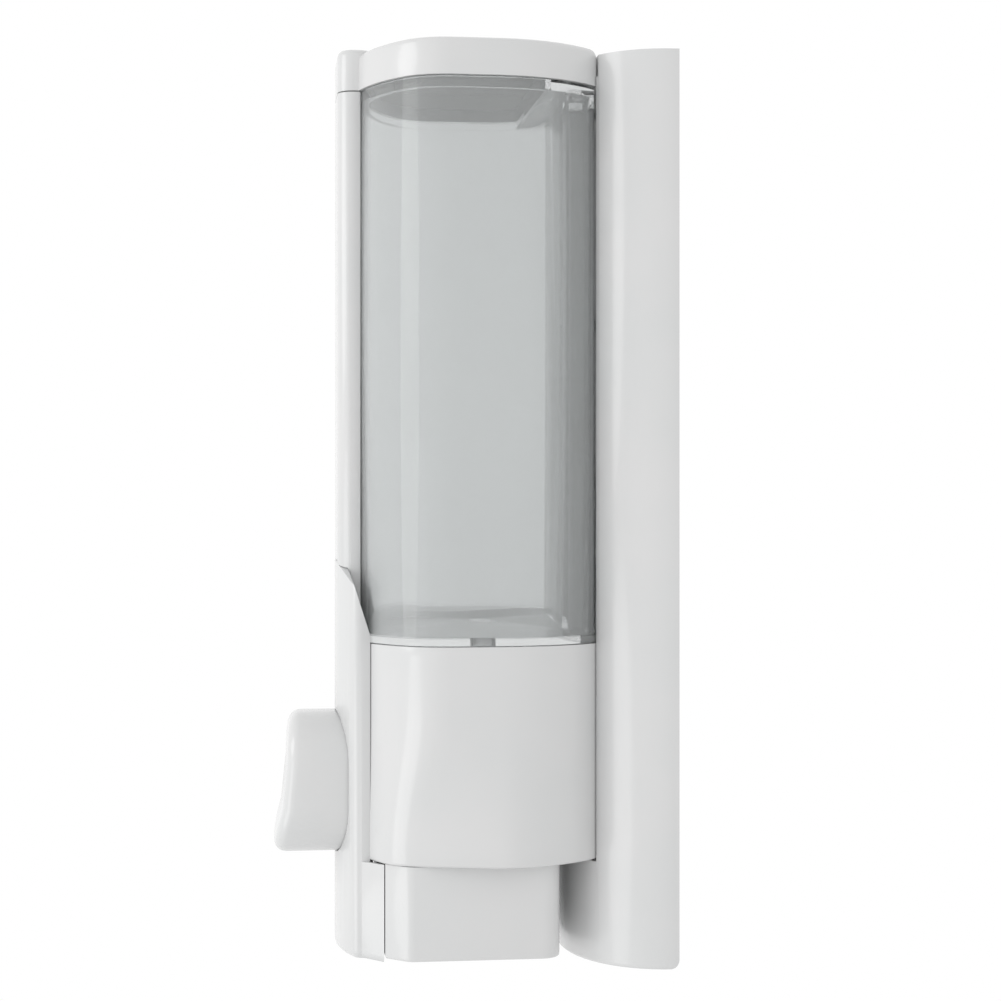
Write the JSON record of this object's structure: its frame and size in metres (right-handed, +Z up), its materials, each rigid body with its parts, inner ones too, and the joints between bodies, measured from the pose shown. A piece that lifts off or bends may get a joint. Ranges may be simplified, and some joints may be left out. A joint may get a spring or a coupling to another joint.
{
  "type": "wall mounted soap dispenser",
  "caption": "Tall wall mounted soap dispenser: clear bottle with flip-up lid over a push-button piston pump, hung on a domed wall plate.",
  "frame": {"origin": "centre of the flat land on the wall plate's back, in the plane of the wall", "axes": "+Z up, +X across the width, the wall is the plane Y = 0 and the button faces -Y"},
  "size_m": [0.087, 0.1254, 0.2912],
  "materials": {
    "white_abs": "gloss white moulded ABS",
    "clear_plastic": "clear moulded SAN",
    "acetal": "natural acetal",
    "silicone": "translucent grey silicone",
    "foam_tape": "double sided foam tape",
    "steel": "stainless steel"
  },
  "bodies": {
    "wall_bracket": {"wall_plate": "white_abs", "adhesive_pad_upper": "foam_tape", "adhesive_pad_lower": "foam_tape", "wall_screw_upper": "steel", "wall_screw_lower": "steel"},
    "dispenser_body": {"pump_housing": "white_abs", "front_shield": "white_abs", "front_spine": "white_abs", "rear_rail": "white_abs", "bottle": "clear_plastic", "lid_hinge_pin": "steel", "pump_cylinder": "acetal", "cylinder_cap": "acetal", "pump_screw_left": "steel", "shield_screw_left": "steel", "pump_screw_right": "steel", "shield_screw_right": "steel", "rail_screw": "steel", "return_spring": "steel", "inlet_grommet": "silicone", "inlet_cage": "acetal", "outlet_spring": "steel", "spout": "acetal"},
    "lid_cover": {"lid": "white_abs"},
    "button": {"push_button": "white_abs", "plunger": "acetal", "piston_cup": "silicone"},
    "inlet_valve": {"inlet_ball": "steel"},
    "outlet_valve": {"outlet_ball": "steel"}
  },
  "joints": [
    {"name": "body_lift", "type": "slide", "parent": "wall_bracket", "child": "dispenser_body", "axis": [0, 0, 1], "range_m": [0, 0.009]},
    {"name": "lid_hinge", "type": "hinge", "parent": "dispenser_body", "child": "lid_cover", "pos_m": [0, -0.0274, 0.1424], "axis": [-1, 0, 0], "range_deg": [0, 85]},
    {"name": "button_push", "type": "slide", "parent": "dispenser_body", "child": "button", "axis": [0, 1, 0], "range_m": [0, 0.01], "stiffness_N_per_m": 600, "springref_m": -0.008, "deforming": ["return_spring"]},
    {"name": "inlet_ball_lift", "type": "slide", "parent": "dispenser_body", "child": "inlet_valve", "axis": [0, 0, 1], "range_m": [0, 0.0009]},
    {"name": "outlet_ball_drop", "type": "slide", "parent": "dispenser_body", "child": "outlet_valve", "axis": [0, 0, -1], "range_m": [0, 0.0015], "stiffness_N_per_m": 60, "springref_m": -0.003, "deforming": ["outlet_spring"]}
  ]
}
